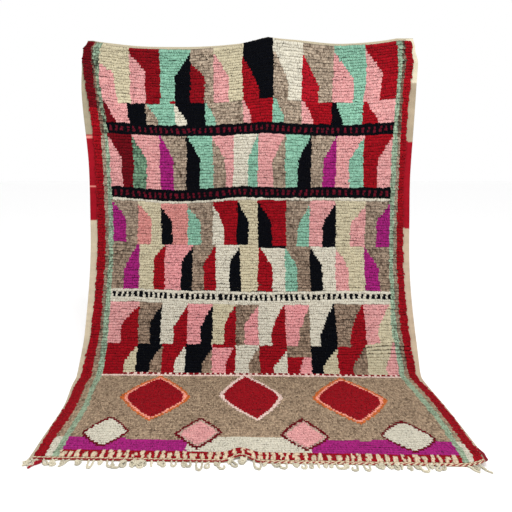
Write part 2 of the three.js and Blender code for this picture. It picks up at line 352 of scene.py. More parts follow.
# Rows of cells, in centimetres: the row's top and bottom, then for each cell its right edge, its ground and
# its blade, where the blade begins and is full, and how wide it gets: more than 0 where it stands on the
# cell's left edge, and less where it stands on the right one
ROWS = [
    (-2.0, 28.0, [
        (-57.5, "beige", "pink", 10.5, 15.5, 6.8),
        (-43.0, "garnet", "pink", 4.2, 12.0, 7.2),
        (-28.5, "mint", "black", 3.0, 16.0, -7.5),
        (-17.5, "taupe", "garnet", 8.5, 15.5, 6.8),
        (-3.5, "beige", "pink", 3.2, 17.0, 7.5),
        (11.0, "black", "red", 6.5, 24.0, 7.8),
        (25.0, "white", "taupe", 5.5, 20.5, 7.2),
        (40.0, "taupe", "cherry", 6.0, 21.0, 8.3),
        (55.5, "mint", "pink", 3.8, 17.5, 10.0),
        (80.0, "red", "pink", 3.4, 16.5, 7.6),
    ]),
    (28.0, 38.8, [
        (-60.0, "pink", "wine", 27.0, 38.5, 4.5),
        (-50.3, "black", "pink", 28.0, 38.8, 1.8),
        (-36.3, "mint", "taupe", 27.5, 36.5, 5.5),
        (-21.5, "black", "white", 28.5, 37.5, 5.6),
        (-3.5, "taupe", "mint", 27.0, 36.5, 5.0),
        (11.0, "red", "pink", 26.5, 35.5, 3.8),
        (25.0, "taupe", "mint", 26.5, 36.5, 5.5),
        (40.0, "red", "pink", 26.5, 37.0, 5.6),
        (55.3, "mint", "black", 25.0, 38.5, 5.8),
        (80.0, "pink", "red", 26.5, 38.5, 8.0),
    ]),
    (44.2, 70.4, [
        (-57.5, "wine", "pink", 45.5, 56.0, 5.8),
        (-44.3, "pink", "sage", 45.5, 57.5, 6.5),
        (-31.0, "taupe", "purple", 44.5, 57.0, 6.8),
        (-18.0, "mint", "black", 44.5, 56.5, 6.8),
        (-8.0, "pink", "taupe", 46.5, 56.5, 6.2),
        (4.0, "white", "mint", 44.5, 57.0, -4.8),
        (17.5, "pink", "taupe", 44.5, 57.5, -6.0),
        (30.5, "mint", "black", 44.5, 57.5, -6.7),
        (43.0, "taupe", "purple", 45.0, 57.0, -6.5),
        (56.5, "pink", "mint", 45.5, 57.5, -7.0),
        (80.0, "red", "pink", 45.5, 57.0, -6.8),
    ]),
    (76.8, 99.3, [
        (-56.0, "taupe", "purple", 77.5, 86.0, 6.2),
        (-44.0, "beige", "salmon", 78.5, 86.5, 6.8),
        (-31.0, "salmon", "black", 79.0, 88.0, 5.6),
        (-18.3, "taupe", "mint", 79.5, 89.0, 6.8),
        (-6.0, "red", "white", 78.5, 90.0, 5.6),
        (4.0, "beige", "black", 78.0, 88.5, 5.8),
        (18.5, "red", "black", 77.5, 88.5, 7.2),
        (30.0, "taupe", "mint", 79.5, 90.0, -6.0),
        (43.2, "pink", "black", 78.5, 88.5, -6.7),
        (57.8, "beige", "pink", 79.5, 87.5, -7.2),
        (80.0, "taupe", "purple", 78.0, 87.0, -6.5),
    ]),
    (99.3, 123.0, [
        (-54.8, "taupe", "purple", 98.5, 111.5, -7.5),
        (-42.0, "beige", "red", 100.0, 106.0, -5.6),
        (-28.0, "rosy", "black", 100.0, 108.5, -5.6),
        (-16.5, "taupe", "red", 100.0, 109.0, -5.8),
        (-4.3, "white", "black", 100.5, 109.0, -5.6),
        (4.3, "beige", "beige", 100.0, 101.0, 0.0),
        (18.0, "white", "red", 100.0, 111.0, 7.4),
        (30.5, "taupe", "mint", 100.0, 110.5, 6.0),
        (43.2, "white", "black", 100.0, 109.5, 6.0),
        (57.5, "beige", "pink", 100.5, 111.0, 6.5),
        (80.0, "taupe", "purple", 99.5, 110.5, 7.0),
    ]),
    (129.0, 150.3, [
        (-54.0, "pink", "red", 131.0, 141.0, -8.2),
        (-43.0, "taupe", "black", 130.5, 139.5, -5.2),
        (-30.0, "white", "red", 130.5, 142.0, -6.5),
        (-18.0, "rosy", "black", 130.5, 142.0, -5.8),
        (-7.0, "beige", "red", 129.0, 141.5, -5.6),
        (4.5, "taupe", "rosy", 130.0, 140.5, -6.6),
        (17.5, "white", "red", 128.5, 143.5, -7.0),
        (29.0, "rosy", "taupe", 130.0, 143.5, -5.5),
        (42.0, "white", "black", 128.5, 144.0, -7.8),
        (55.5, "taupe", "red", 128.0, 142.5, -7.2),
        (80.0, "pink", "beige", 128.5, 142.5, -6.6),
    ]),
    (150.3, 165.2, [
        (-54.0, "red", "beige", 151.5, 159.5, -5.5),
        (-41.9, "black", "taupe", 151.5, 160.0, -5.2),
        (-30.5, "red", "white", 151.5, 160.0, -5.2),
        (-18.0, "black", "taupe", 153.0, 160.5, -4.9),
        (-7.0, "rosy", "red", 150.5, 159.5, -4.5),
        (4.4, "white", "taupe", 151.0, 160.5, -5.4),
        (17.5, "red", "white", 152.5, 161.5, -6.4),
        (29.0, "red", "rosy", 150.5, 161.5, -5.6),
        (41.8, "black", "beige", 151.5, 160.5, -7.2),
        (55.3, "red", "taupe", 150.5, 160.5, -7.0),
        (80.0, "beige", "pink", 149.5, 160.5, -5.6),
    ]),
]

BLADE_CURVE = 0.9

# Strays from the rows, in centimetres: left, right, top, bottom, yarn
STRAYS = [
    (-38.6, -36.4, 27.6, 29.0, "red"),
    (-44.5, -38.0, 70.4, 71.8, "purple"),
    (4.0, 18.5, 99.3, 100.7, "black"),
    (-18.0, -7.0, 150.3, 151.6, "red"),
    (17.5, 29.0, 150.3, 156.4, "taupe"),
    (-73.0, -58.0, 165.2, 166.5, "red"),
]

# Dotted bands: top, bottom, where the dots begin and end, ground, dots, pitch of the dots, share of the
# pitch that is dot. Then how far dots stray from their places, by how much the second line of knots strays
# from the first, over what lengths, and the smallest dot and what it may grow by, in shares
DOTTED = [
    (0.3880, 0.4420, 0.4050, 0.4320, "black", "crimson", 0.0272, 0.42),
    (0.7040, 0.7540, 0.7140, 0.7410, "black", "crimson", 0.0280, 0.42),
    (1.2300, 1.2900, 1.2370, 1.2640, "white", "black", 0.0260, 0.58),
]
DOT_STRAY, DOT_LEAN, DOT_STRAY_OVER, DOT_LEAN_OVER = 0.30, 0.10, 0.10, 0.07
DOT_LEAST, DOT_MORE = 0.86, 0.28
WHITE_LINE = (0.754, 0.768)

# The pale line above the lozenges, with red dashes in its upper row
THIN_ROW = (1.652, 1.679)
DASHES_END, DASHES_FROM = 1.6655, -0.58
DASH_PITCH, DASH_SHARE = 0.0265, 0.62

# Where the wefts stray from straight: down, reach down, across, reach across, shift
DIPS = [
    (0.735, 0.150, -0.360, 0.360, 0.024),
    (0.285, 0.080, -0.600, 0.280, 0.008),
    (0.410, 0.100, -0.650, 0.250, -0.006),
    (0.990, 0.080, -0.660, 0.150, -0.015),
    (1.000, 0.050, 0.420, 0.350, 0.006),
    (1.258, 0.080, -0.050, 0.720, 0.016),
    (1.500, 0.070, 0.700, 0.260, -0.022),
    (1.665, 0.090, 0.200, 0.480, -0.008),
    (2.270, 0.090, 0.450, 0.160, -0.009),
]

# Lozenges: centre across and down, half width, height above the centre and below, how far the line of the
# side corners slants and how far that of the end corners leans, how blunt the side corners and the end
# corners are (1 is sharp), filling, and the outlines from the outside in with the depth where each ends
ORANGE_ROSE = (("orange", 0.0108), ("rose", 0.0205))
WINE_GREY = (("wine", 0.0120), ("grey", 0.0200))
LOZENGES = [
    (-0.414, 1.902, 0.150, 0.224, 0.220, 0.00, 0.00, 1.28, 1.10, "red", ORANGE_ROSE),
    (-0.006, 1.891, 0.135, 0.232, 0.222, 0.00, 0.09, 1.28, 1.10, "red", (("pale", 0.0136),)),
    (0.411, 1.908, 0.156, 0.222, 0.222, 0.04, 0.00, 1.28, 1.08, "red", ORANGE_ROSE),
    (-0.565, 2.219, 0.090, 0.129, 0.110, -0.10, 0.05, 1.12, 1.34, "white", (("wine", 0.0120),)),
    (-0.212, 2.214, 0.092, 0.124, 0.122, -0.10, 0.00, 1.10, 1.10, "pink", WINE_GREY),
    (0.183, 2.230, 0.093, 0.144, 0.108, 0.08, -0.05, 1.16, 1.10, "pink", WINE_GREY),
    (0.564, 2.231, 0.101, 0.132, 0.104, 0.10, -0.07, 1.14, 1.44, "white", (("wine", 0.0120),)),
]
LOZENGE_DEPTH = 0.80
BIG_LOZENGE, CUT_CORNERS = 0.120, 0.65

# The last stretch before the hem
END_STRIP = 2.262
CHECK_ROW = 2.352
CHECK_PITCH = 0.0275
WISP_ON_PUCKER, WISP_LEAST, WISP_MORE, LATE_WISPS = 0.30, 0.34, 0.18, 0.35
WHITE_MIDDLE, WHITE_EARLY = (-0.250, 0.195), 0.014


def weft_shift(u, s):
    """How far down a row of knots strays from its place."""
    total = uneven("weft", u, s)
    for down, reach_down, across, reach_across, shift in DIPS:
        total = total + shift * (near(s, down, reach_down) * near(u, across, reach_across))
    return total


def border_line(s, column):
    """One of the lines of the side borders, in metres."""
    return eased(BORDERS, s * 100, column) / 100


def cells_of(cells, u, s):
    """The yarns of one row of cells."""
    found = np.zeros(u.shape, int)
    left = border_line(s, 4)
    for n, (end, ground, blade, begin, full, reach) in enumerate(cells):
        apart = n + 0 * s
        right = end / 100 + uneven("cell edge", s, apart) + uneven("cell drift", s, apart)
        inside = within(u, left, right)
        out = np.clip((s * 100 - begin) / (full - begin), 0, 1) ** BLADE_CURVE
        width = out * abs(reach) / 100 + uneven("blade edge", s, apart)
        from_side = u - left if reach >= 0 else np.minimum(right, border_line(s, 5)) - u
        found[inside] = yarn(ground)
        found[inside & (out > 0) & (from_side < width)] = yarn(blade)
        left = right
    return found


def dotted(u, line, pitch, share, seed):
    """Where the dots of a band are, on the lines of knots that hold them."""
    spot = u / pitch + DOT_STRAY * noise(u / DOT_STRAY_OVER, 0 * u, seed)
    spot = spot + DOT_LEAN * line * noise(u / DOT_LEAN_OVER, 0 * u, seed + 1)
    size = share * (DOT_LEAST + DOT_MORE * lattice(np.floor(spot), 0 * line, seed + 2))
    return (spot - np.floor(spot)) < size


def chart(u, s):
    """The yarn of each knot, by where its pile shows."""
    found = np.full(u.shape, yarn("taupe"))
    for top, bottom, cells in ROWS:
        here = within(s, top / 100, bottom / 100)
        found[here] = cells_of(cells, u[here], s[here])
    for left, right, top, bottom, name in STRAYS:
        found[within(u, left / 100, right / 100) & within(s, top / 100, bottom / 100)] = yarn(name)
    found[within(s, *WHITE_LINE)] = yarn("white")
    for top, bottom, begin, stop, ground, dots, pitch, share in DOTTED:
        line = np.floor((s - begin) / ROW_PITCH)
        found[within(s, top, bottom)] = yarn(ground)
        found[within(s, begin, stop) & dotted(u, line, pitch, share, 21)] = yarn(dots)
    thin = within(s, *THIN_ROW) & ((u > DASHES_FROM) | (s >= DASHES_END))
    found[thin] = yarn("pale")
    found[thin & (s < DASHES_END) & dotted(u, 0 * s, DASH_PITCH, DASH_SHARE, 24)] = yarn("garnet")
    end = s >= END_STRIP + uneven("end strip", u, 0 * u)
    found[end] = yarn("purple")
    found[within(u, *WHITE_MIDDLE) & (end | (s >= END_STRIP - WHITE_EARLY))] = yarn("white")
    for cu, cs, half_u, above, below, slant, lean, side_blunt, end_blunt, filling, outlines in LOZENGES:
        across = np.abs(u - cu - lean * (s - cs))
        down = s - cs - slant * (u - cu)
        down = np.where(down < 0, -down / above, down / below)
        depth = (1 - (across / half_u) ** end_blunt - down ** side_blunt) * half_u * LOZENGE_DEPTH
        if half_u > BIG_LOZENGE:
            depth = np.minimum(depth, (half_u - across) * CUT_CORNERS)
        begin = 0.0
        for name, stop in (*outlines, (filling, 0.0)):
            found[depth > begin] = yarn(name)
            begin = stop
    found[s >= CHECK_ROW] = yarn("red")
    found[(s >= CHECK_ROW) & wisps(u, s)] = yarn("cream")
    mint = np.where((u < 0) & within(s, MOSS_BELOW, TWEED_ABOVE), yarn("moss"), yarn("fern"))
    mint[s > THIN_ROW[1]] = yarn("lichen")
    mixed = np.where(s < TWEED_ABOVE, yarn("tweed"), yarn("taupe"))
    mixed[s > END_STRIP] = yarn("white")
    # Painted shade: the left border's red is painted dark wine near the top, where the top-left edge curls
    # away
    red = np.where((u < 0) & (s < SHADED_RED_ABOVE), yarn("wine"), yarn("red"))
    for left, right, yarns in ((4, 5, mint), (3, 6, mixed), (2, 7, red)):
        found = np.where((u < border_line(s, left)) | (u >= border_line(s, right)), yarns, found)
    return found


def wisps(u, s):
    """Where the last rows of knots are cream: in wisps, some of them a row short."""
    spot = (u + HALF) / CHECK_PITCH + uneven("wisp place", u, 0 * u)
    number = np.floor(spot)
    spot = spot + uneven("wisp lean", number * 1.7, s)
    humped = np.abs(u - PUCKER_AT) < PUCKER_HALF
    share = np.where(humped, WISP_ON_PUCKER, WISP_LEAST + WISP_MORE * chance(number + 30))
    late = (chance(number + 60) < LATE_WISPS) & (s < CHECK_ROW + 0.9 * ROW_PITCH)
    return (spot - np.floor(spot) < share) & ~late


# How strong and how long the streaks along a row are, the flecks, the broad patches, and how much finer and
# weaker streaks and flecks look where the rug lies
STREAK, STREAK_LENGTH, BROAD_STREAK, BROAD_STREAK_LENGTH = 0.50, 0.0080, 0.15, 0.034
FLECK = 0.66
PATCH, PATCH_ACROSS, PATCH_DOWN = 0.05, 0.25, 0.18
LAID_FINE, LAID_STRONG = 0.55, 0.80


def shades(u, s, yarns, seed):
    """The colour of each knot: its yarn, light and dark in streaks along the rows as hand-spun wool is, with
    the painted light and shade down the rug.
    """
    row_number = np.floor(s / ROW_PITCH)
    fine = np.where(s > THIN_ROW[1], LAID_FINE, 1.0)
    strong = np.where(s > THIN_ROW[1], LAID_STRONG, 1.0)
    streak = STREAK * noise(u / (STREAK_LENGTH * fine), row_number * 7.3, seed) * strong
    streak = streak + BROAD_STREAK * noise(u / BROAD_STREAK_LENGTH, row_number * 3.7, seed + 1)
    fleck = FLECK * (lattice(np.floor(u / KNOT_PITCH * 2), row_number, seed + 2) - 0.5) * strong
    dark = np.clip(DARK_SHARE[yarns] + STREAKS[yarns] * (streak + fleck), 0, 1)[..., None]
    # Random broad patches of the wool, times the painted light and shade down the rug
    patches_and_painted_light = (1 + PATCH * noise(u / PATCH_ACROSS, s / PATCH_DOWN, seed + 3)) * eased(PAINTED_LIGHT_DOWN, s, 1)
    undyed = np.stack([eased(TAUPE_LOTS, s, channel) for channel in (1, 2, 3)], -1)
    lot = np.where((yarns == yarn("taupe"))[..., None], undyed, 1.0)
    spun = LIGHT_YARNS[yarns] * (1 - dark) + DARK_YARNS[yarns] * dark
    return np.clip(spun * patches_and_painted_light[..., None] * lot, 0, 1)


# Meshes

def added(name, data):
    """An object of its own for some data, in the scene."""
    piece = bpy.data.objects.new(name, data)
    bpy.context.scene.collection.objects.link(piece)
    return piece


def new_piece(name, verts, faces, colours, material, uvs):
    """A mesh from arrays: the faces by their corners, and a place on the map for each of those corners."""
    mesh = bpy.data.meshes.new(name)
    mesh.vertices.add(len(verts))
    mesh.vertices.foreach_set("co", np.ascontiguousarray(verts, np.float32).ravel())
    corners = np.concatenate([f.ravel() for f in faces]).astype(np.int32)
    sizes = np.concatenate([np.full(len(f), f.shape[1]) for f in faces]).astype(np.int32)
    mesh.loops.add(len(corners))
    mesh.loops.foreach_set("vertex_index", corners)
    mesh.polygons.add(len(sizes))
    starts = np.concatenate([[0], np.cumsum(sizes)[:-1]]).astype(np.int32)
    mesh.polygons.foreach_set("loop_start", starts)
    mesh.polygons.foreach_set("use_smooth", np.full(len(sizes), True))
    mesh.update(calc_edges=True)
    layer = mesh.color_attributes.new("yarn", "FLOAT_COLOR", "POINT")
    rgba = np.concatenate([colours, np.ones((len(colours), 1))], 1)
    layer.data.foreach_set("color", rgba.astype(np.float32).ravel())
    mesh.uv_layers.new(name="OFBake").data.foreach_set("uv", uvs.astype(np.float32).ravel())
    mesh.materials.append(material)
    piece = added(name, mesh)
    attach(piece, "root")
    return piece


# Materials

def set_inputs(node, **values):
    for socket, value in values.items():
        node.inputs[socket.replace("_", " ")].default_value = value
    return node


def wool(name, fibre, strength, roughness, sheen):
    """Yarn whose colour comes from the mesh, with fibres mottled through it."""
    material = bpy.data.materials.new(name)
    material.use_nodes = True
    nodes = material.node_tree.nodes
    shader = set_inputs(nodes["Principled BSDF"], Roughness=roughness, Sheen_Weight=sheen)
    set_inputs(shader, Sheen_Roughness=0.45, Specular_IOR_Level=0.07)
    place_of = nodes.new("ShaderNodeTexCoord")
    dye = nodes.new("ShaderNodeAttribute")
    dye.attribute_name = "yarn"
    fibres = set_inputs(nodes.new("ShaderNodeTexNoise"), Scale=fibre, Detail=3.0)
    spread = set_inputs(nodes.new("ShaderNodeMapRange"), From_Min=0.3, From_Max=0.7)
    set_inputs(spread, To_Min=1 - strength, To_Max=1 + strength)
    mottled = nodes.new("ShaderNodeVectorMath")
    mottled.operation = "SCALE"
    bump = set_inputs(nodes.new("ShaderNodeBump"), Strength=0.25, Distance=0.0006)
    for source, output, target, socket in [
        (place_of, "Object", fibres, "Vector"),
        (fibres, "Fac", spread, "Value"),
        (dye, "Color", mottled, 0),
        (spread, "Result", mottled, "Scale"),
        (mottled, "Vector", shader, "Base Color"),
        (fibres, "Fac", bump, "Height"),
        (bump, "Normal", shader, "Normal"),
    ]:
        material.node_tree.links.new(source.outputs[output], target.inputs[socket])
    return material


pile_wool = wool("pile_wool", 900, 0.14, 0.95, 0.02)
weave_wool = wool("weave_wool", 500, 0.12, 0.92, 0.04)
warp_cotton = wool("warp_cotton", 1200, 0.10, 0.90, 0.04)

# The knots, as columns across and rows down
knot_columns = int(round(2 * RIM / KNOT_PITCH))
knot_rows = int(round((PILE_TO - PILE_FROM) / ROW_PITCH))
row_pitch = (PILE_TO - PILE_FROM) / knot_rows

# A leg of a knot, from its root to its cut end: share of the run, share of the height, painted light (1 is
# none), and how steeply it rises there
LEG_RINGS = [(0.22, 0.86, 1.0, 0.80), (0.84, 0.99, 1.0, 0.05)]
# The cut end: share of the run, share of the height, and its painted highlight, a little lighter
LEG_TIP = (1.0, 0.82, 1.04)
# Painted shade at a leg's root deep in the pile, and the root's height
LEG_ROOT_SHADE, LEG_ROOT_HEIGHT = 0.75, 0.0030
LEG_WIDE, LEG_FLAT, LEG_SIDES = 1.22, 0.50, 3
SHOWN_AT = 0.0140

# Where the rug turns from hanging to lying. Rows stand out from each other where it hangs, and are calmer,
# with lighter painted shade in their depths and bent over at their tips where it lies
LAID_FROM, LAID_OVER = 1.45, 0.25
HUNG_STEP, GROOVE_MEAN = 0.19, 0.75
LAID_CALM, LAID_LIGHT, LAID_TIP = 0.55, 0.7, 0.14

# Where the last rows droop over the hem, by shares of their height at the rings and the tip
DROOP_FROM, DROOP_OVER = 2.350, 0.020
DROOP = (0.0, 0.30, 0.60)

# How legs vary, in shares and in metres, and how much bolder the cream ones of the last rows are
RUN_VARIES, TOP_VARIES, THICK_VARIES, TURN_VARIES, TONE_VARIES = 0.05, 0.03, 0.07, 0.5, 0.04
ACROSS_VARIES, DOWN_VARIES, END_VARIES, SWING_VARIES = 0.0006, 0.0008, 0.001, 0.0011
BOLD_RUN, BOLD_END, BOLD_TOP, BOLD_THICK = 0.004, 0.002, 0.0014, 0.15

# How far knots stray across in their row, in columns, and how far the outermost share of a row leans out
COLUMN_STRAY, EDGE_SHARE, EDGE_LEAN = 0.45, 0.015, 0.0015

# The share of a square of the map that its leg or its cord leaves free along each side
MAP_MARGIN = 0.08

# Where a first row of knots stands on the very edge: from, to
TOP_TUFTS = [(-0.800, -0.700), (-0.036, 0.112)]


def map_of_legs(count):
    """A place on the map for each corner of each leg, every leg in a square of its own."""
    k = np.arange(LEG_SIDES) / LEG_SIDES
    after, middle = k + 1 / LEG_SIDES, k + 0.5 / LEG_SIDES
    low, high = np.full(LEG_SIDES, 1 / 3), np.full(LEG_SIDES, 2 / 3)
    root = np.stack([middle, 0 * k, after, low, k, low], -1)
    body = np.stack([k, low, after, low, after, high, k, high], -1)
    tip = np.stack([k, high, after, high, middle, 1 + 0 * k], -1)
    side = int(math.ceil(math.sqrt(count)))
    n = np.arange(count)
    squares = np.stack([n % side, n // side], -1)[:, None, None, :]
    parts = [
        (squares + shape.reshape(1, LEG_SIDES, -1, 2) * (1 - 2 * MAP_MARGIN) + MAP_MARGIN) / side
        for shape in (root, body, tip)
    ]
    return np.concatenate([part.reshape(-1, 2) for part in parts])


def faces_of_legs(count):
    """The faces of each leg: a fan at its root, its body and a fan at its tip."""
    ring = 1 + np.arange(LEG_SIDES)
    after = np.roll(ring, -1)
    tip = 1 + 2 * LEG_SIDES
    root = np.stack([0 * ring, after, ring], -1)
    body = np.stack([ring, after, LEG_SIDES + after, LEG_SIDES + ring], -1)
    tips = np.stack([LEG_SIDES + ring, LEG_SIDES + after, np.full(LEG_SIDES, tip)], -1)
    first = np.arange(count)[:, None, None] * (tip + 1)
    return [(first + part).reshape(-1, part.shape[1]) for part in (root, body, tips)]


def pile_piece(number, first_row, last_row):
    """Some rows of knots, each knot with its two legs of cut yarn."""
    rng = np.random.default_rng(100 + number)
    rows, columns = np.arange(first_row, last_row), np.arange(knot_columns)
    row, column = [a.ravel() for a in np.meshgrid(rows, columns, indexing="ij")]
    s = np.maximum(PILE_FROM + (row - 1) * row_pitch, 0.001)
    left, right = border_line(s, 1), border_line(s, 8)
    share = (column + 0.5 + COLUMN_STRAY * (lattice(row, 0 * row, 7) - 0.5)) / knot_columns
    u = left + (right - left) * share
    kept = (row > 0) | np.any([within(u, a, b) for a, b in TOP_TUFTS], axis=0)
    row, s, u, share = row[kept], s[kept], u[kept], share[kept]
    count = len(u)
    shift = weft_shift(u, s + SHOWN_AT)
    edge = smooth((share - (1 - EDGE_SHARE)) / EDGE_SHARE) - smooth((EDGE_SHARE - share) / EDGE_SHARE)
    laid = smooth((s - LAID_FROM) / LAID_OVER)
    hanging = 1 - LAID_CALM * laid
    grooved = HUNG_STEP * (1 - laid) * (GROOVE_MEAN + uneven("groove", u, row * ROW_APART))
    droop = smooth((s - DROOP_FROM) / DROOP_OVER)
    spots, colours = [], []
    for hand in (-1, 1):
        start_u = u + hand * KNOT_PITCH * 0.25 + rng.normal(0, ACROSS_VARIES, count)
        start_s = s + shift + rng.normal(0, DOWN_VARIES, count)
        yarns = chart(start_u, s + SHOWN_AT)
        colour = shades(start_u, s + SHOWN_AT, yarns, 20)
        bold = ((s + SHOWN_AT > CHECK_ROW) & (yarns == yarn("cream"))) * 1.0
        lump = uneven("leg run", u, row * ROW_APART) + uneven("row run", u, row)
        run = PILE_RUN * (1 + RUN_VARIES * rng.normal(size=count)) + lump * hanging + BOLD_RUN * bold
        run = np.minimum(run, PILE_END + BOLD_END * bold + END_VARIES * rng.normal(size=count) - s)
        top = PILE_TOP * (1 + TOP_VARIES * rng.normal(size=count))
        top = top + uneven("leg height", u, row * ROW_APART) * hanging + BOLD_TOP * bold
        swing = SWING_VARIES * rng.normal(size=count) + uneven("leg swing", u, row * 1.7) + EDGE_LEAN * edge
        thick = LEG_RADIUS * (1 + THICK_VARIES * rng.normal(size=count)) * (1 + BOLD_THICK * bold)
        turn = np.pi / 2 + rng.normal(0, TURN_VARIES, count)
        angle = turn[:, None] + np.arange(LEG_SIDES) * 2 * np.pi / LEG_SIDES
        wide = np.cos(angle) * thick[:, None] * LEG_WIDE
        deep = np.sin(angle) * thick[:, None] * LEG_FLAT
        # Painted shade in the pile's depths, lighter where the rug lies
        light = (DEEP[yarns] + (1 - DEEP[yarns]) * LAID_LIGHT * laid)[:, None]
        points = [np.stack([start_u, start_s, np.full(count, LEG_ROOT_HEIGHT)], -1)[:, None]]
        leg_painted_light = [LEG_ROOT_SHADE * light]
        for ring, (share_run, share_top, tint, rise) in enumerate(LEG_RINGS):
            height = top * (share_top - (1 - ring) * grooved * GROOVES[yarns] - DROOP[ring] * droop)
            centre = np.stack([start_u + swing * share_run, start_s + run * share_run, height], -1)
            along, up = math.cos(rise), math.sin(rise)
            points.append(centre[:, None] + np.stack([wide, -deep * up, deep * along], -1))
            leg_painted_light.append(np.repeat(tint * (light if ring == 0 else 1 + 0 * light), LEG_SIDES, axis=1))
        height = top * (LEG_TIP[1] - DROOP[2] * droop - LAID_TIP * laid)
        points.append(np.stack([start_u + swing, start_s + run * LEG_TIP[0], height], -1)[:, None])
        leg_painted_light.append(np.full((count, 1), LEG_TIP[2]))
        tone = rng.normal(1, TONE_VARIES, (count, 1))
        spots.append(np.concatenate(points, 1))
        colours.append(colour[:, None] * (np.concatenate(leg_painted_light, 1) * tone)[..., None])
    spots, colours = np.concatenate(spots), np.concatenate(colours)
    verts = place(*spots.reshape(-1, 3).T)
    colours = np.clip(colours.reshape(-1, 3), 0, 1)
    faces = faces_of_legs(len(spots))
    return new_piece(f"pile_{number + 1}", verts, faces, colours, pile_wool, map_of_legs(len(spots)))


def grid_faces(numbers):
    """Quads of a grid of numbered points."""
    corners = [numbers[:-1, :-1], numbers[:-1, 1:], numbers[1:, 1:], numbers[1:, :-1]]
    return np.stack(corners, -1).reshape(-1, 4)


def border_of(numbers):
    """The numbers of a grid's border, round once, and how far round each is, from 0 to 4."""
    sides = [numbers[:-1, 0], numbers[-1, :-1], numbers[:0:-1, -1], numbers[0, :0:-1]]
    turns = [n + np.arange(len(side)) / len(side) for n, side in enumerate(sides)]
    return np.concatenate(sides), np.concatenate(turns)


def wall(outer, inner):
    """Triangles that join two borders of any two counts."""
    (numbers_a, turns_a), (numbers_b, turns_b) = outer, inner
    faces = []
    i = j = 0
    while i < len(numbers_a) or j < len(numbers_b):
        a, b = numbers_a[i % len(numbers_a)], numbers_b[j % len(numbers_b)]
        next_a = turns_a[i + 1] if i + 1 < len(turns_a) else 4.0
        next_b = turns_b[j + 1] if j + 1 < len(turns_b) else 4.0
        if j >= len(numbers_b) or (i < len(numbers_a) and next_a <= next_b):
            i += 1
            faces.append((a, b, numbers_a[i % len(numbers_a)]))
        else:
            j += 1
            faces.append((a, b, numbers_b[j % len(numbers_b)]))
    return np.array(faces)


# Where a slab's front, back and border lie on its map: left and right edges
FRONT_MAP, BACK_MAP, BORDER_MAP = (0.00, 0.48), (0.50, 0.98), (0.985, 1.00)


def slab(name, front, back, material):
    """A closed sheet between a front and a back grid, each of us, ss, a height and a colour function."""
    verts, colours, faces, borders, map_of, map_of_border = [], [], [], [], [], []
    first = 0
    for side, (us, ss, height, colour) in enumerate((front, back)):
        gu, gs = [a.ravel() for a in np.meshgrid(us, ss, indexing="ij")]
        numbers = first + np.arange(len(gu)).reshape(len(us), len(ss))
        verts.append(place(gu, gs, height(gu, gs)))
        colours.append(colour(gu, gs))
        faces.append(grid_faces(numbers)[:, ::-1] if side else grid_faces(numbers))
        borders.append(border_of(numbers))
        left, right = (FRONT_MAP, BACK_MAP)[side]
        across, down = (gu - us[0]) / (us[-1] - us[0]), (gs - ss[0]) / (ss[-1] - ss[0])
        map_of.append(np.stack([left + (right - left) * across, down], -1))
        round_it = np.zeros(len(gu))
        round_it[borders[-1][0] - first] = borders[-1][1] / 4
        map_of_border.append(np.stack([np.full(len(gu), BORDER_MAP[side]), round_it], -1))
        first += len(gu)
    faces = [np.concatenate(faces), wall(*borders)]
    on_border = np.concatenate(map_of_border)[faces[1]]
    turned_over = np.ptp(on_border[..., 1], axis=1)[:, None] > 0.5
    on_border[..., 1] = np.where(turned_over & (on_border[..., 1] < 0.5), 1.0, on_border[..., 1])
    uvs = np.concatenate([np.concatenate(map_of)[faces[0]].reshape(-1, 2), on_border.reshape(-1, 2)])
    return new_piece(name, np.concatenate(verts), faces, np.concatenate(colours), material, uvs)


# The weave: how far it laps under the edges and strips, how high its back's wefts stand, where that fades
# before the hem, how much of the knots' colour the wefts show, how light the wefts are, and the knots on
# the back and on the front, where the weave between the tufts is painted in shade
LAP_SIDES, LAP_ENDS = 0.002, 0.003
WEFT_HEIGHT, WEFT_FADES = 0.0013, 0.05
WEFT_DYED, WEFT_LIGHT, BACK_LIGHT, FRONT_IN_SHADE = 0.35, 0.80, 0.95, 0.60


def weave_piece():
    """The knotted ground: knots and wefts on the back, and what shows between the tufts on the front,
    painted in shade.
    """
    low, high = -RIM - LAP_SIDES, RIM + LAP_SIDES
    top, bottom = TOP_STRIP - LAP_ENDS, LENGTH - HEM + LAP_ENDS
    back_u = np.linspace(low, high, knot_columns + 1)
    back_s = np.linspace(top, bottom, 2 * knot_rows + 1)
    front_u = np.linspace(low, high, knot_columns // 3 + 1)
    front_s = np.linspace(top, bottom, knot_rows // 2 + 1)

    def knotted(u, s):
        woven = s - weft_shift(u, s)
        return shades(u, woven, chart(u, woven + SHOWN_AT), 40)

    def on_weft(s):
        return np.round((s - top) / (bottom - top) * 2 * knot_rows) % 2 == 0

    def back_height(u, s):
        return np.where(on_weft(s), WEFT_HEIGHT, 0.0) * smooth((LENGTH - s) / WEFT_FADES)

    def back_colour(u, s):
        knots = knotted(u, s) * BACK_LIGHT
        wefts = LIGHT_YARNS[yarn("grey")] * (WEFT_LIGHT + uneven("weft shade", u, s))[..., None]
        return np.where(on_weft(s)[..., None], WEFT_DYED * knots + (1 - WEFT_DYED) * wefts, knots)

    # Painted shade: the weave seen between the tufts is painted darker than its knots
    def front_shaded_colour(u, s):
        return knotted(u, s) * FRONT_IN_SHADE

    front = (front_u, front_s, lambda u, s: np.full_like(u, FLAT_THICK), front_shaded_colour)
    back = (back_u, back_s, back_height, back_colour)
    return slab("weave", front, back, weave_wool)


